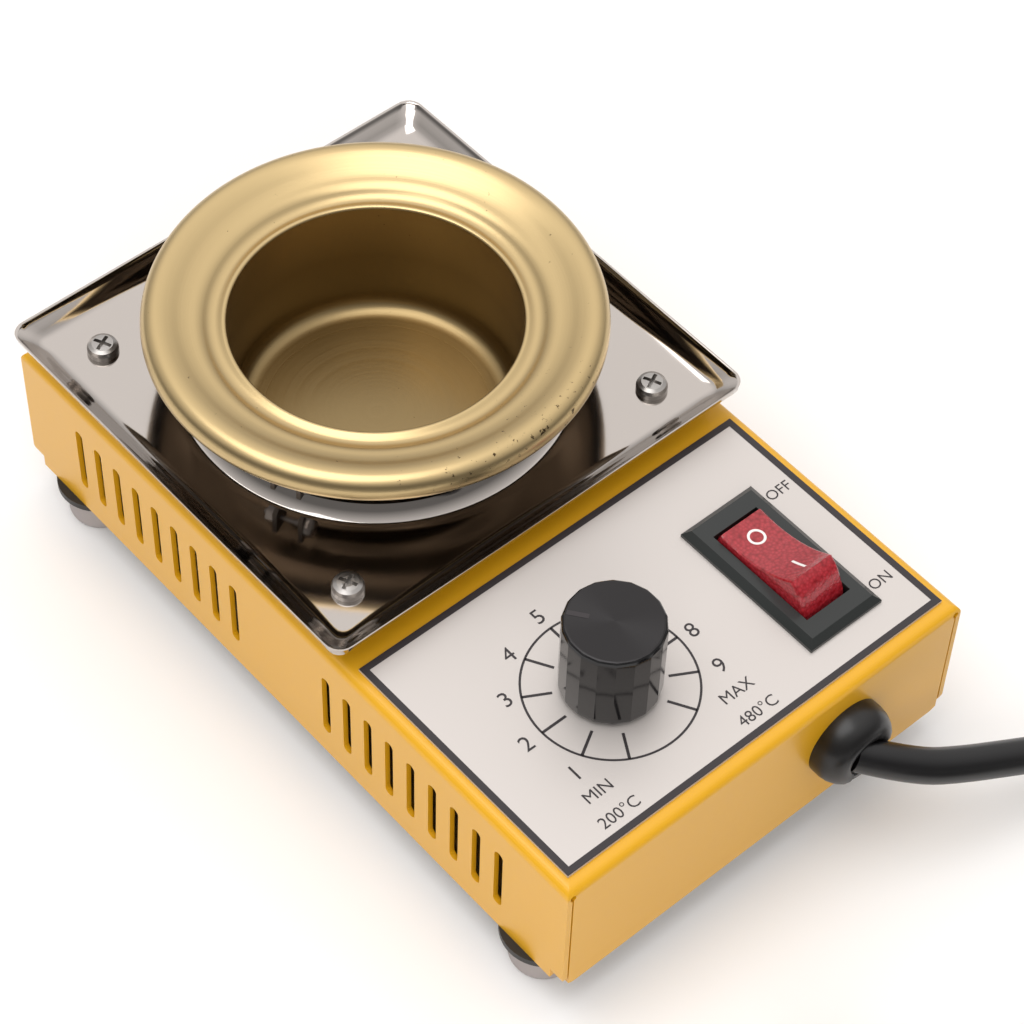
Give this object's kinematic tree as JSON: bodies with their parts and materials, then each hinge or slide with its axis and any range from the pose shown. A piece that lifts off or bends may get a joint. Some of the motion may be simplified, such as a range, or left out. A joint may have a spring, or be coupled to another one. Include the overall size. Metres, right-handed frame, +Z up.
{
  "type": "solder pot",
  "caption": "Bench solder pot: round flanged crucible in a band heater over a square drip tray, on a vented metal box with a dial knob, a rocker switch and a mains lead.",
  "frame": {"origin": "on the floor under the middle of the object, without its lead", "axes": "+X to the right, +Y from the control panel to the crucible, +Z up"},
  "size_m": [0.1181, 0.2833, 0.057],
  "materials": {
    "powder_coat": "satin powder coat",
    "stainless": "bright polished",
    "brass_tone": "satin spun",
    "zinc_steel": "bright zinc",
    "mica": "matte",
    "ceramic": "matte",
    "panel": "satin, printed",
    "black_plastic": "gloss",
    "black_matte": "matte",
    "red_lens": "translucent gloss",
    "grey_rubber": "matte",
    "black_rubber": "satin",
    "board": "satin",
    "anodised": "anodised",
    "film_blue": "gloss",
    "ferrite": "lacquered",
    "resistor": "lacquered",
    "terminal_green": "satin",
    "brass_blade": "bright",
    "lamp_glass": "clear"
  },
  "bodies": {
    "base": {"housing": "powder_coat", "base_plate": "zinc_steel", "foot_cups": "black_rubber", "feet": "grey_rubber", "foot_screws": "zinc_steel", "tray": "stainless", "tray_spacers": "zinc_steel", "tray_screws": "zinc_steel", "tray_nuts": "zinc_steel", "crucible": "brass_tone", "heater_mica": "mica", "heater_band": "stainless", "clamp_screw": "zinc_steel", "heater_terminals": "ceramic", "insulation_disc": "ceramic", "heater_cradle": "zinc_steel", "cradle_screws": "zinc_steel", "panel_plate": "panel", "potentiometer": "zinc_steel", "pot_washer": "zinc_steel", "pot_nut": "zinc_steel", "switch_body": "black_matte", "switch_terminals": "brass_blade", "neon_lamp": "lamp_glass", "circuit_board": "board", "board_standoffs": "zinc_steel", "board_screws": "zinc_steel", "heat_sink": "anodised", "triac": "black_matte", "film_capacitor": "film_blue", "choke": "ferrite", "resistors": "resistor", "terminal_block": "terminal_green", "earth_stud": "brass_blade", "cord_gland": "black_rubber", "power_cord": "black_rubber", "cord_coil": "black_rubber", "cord_end": "black_rubber", "coil_tie": "black_matte", "plug_body": "black_rubber", "plug_pins": "brass_blade"},
    "knob": {"knob": "black_plastic", "control_shaft": "anodised"},
    "rocker": {"rocker": "red_lens"}
  },
  "joints": [
    {"name": "knob_turn", "type": "hinge", "parent": "base", "child": "knob", "pos_m": [-0.012, -0.04645, 0.045], "axis": [0, 0, 1], "range_deg": [-187, 113]},
    {"name": "rocker_tilt", "type": "hinge", "parent": "base", "child": "rocker", "pos_m": [0.025, -0.04725, 0.0345], "axis": [1, 0, 0], "range_deg": [0, 26]}
  ]
}
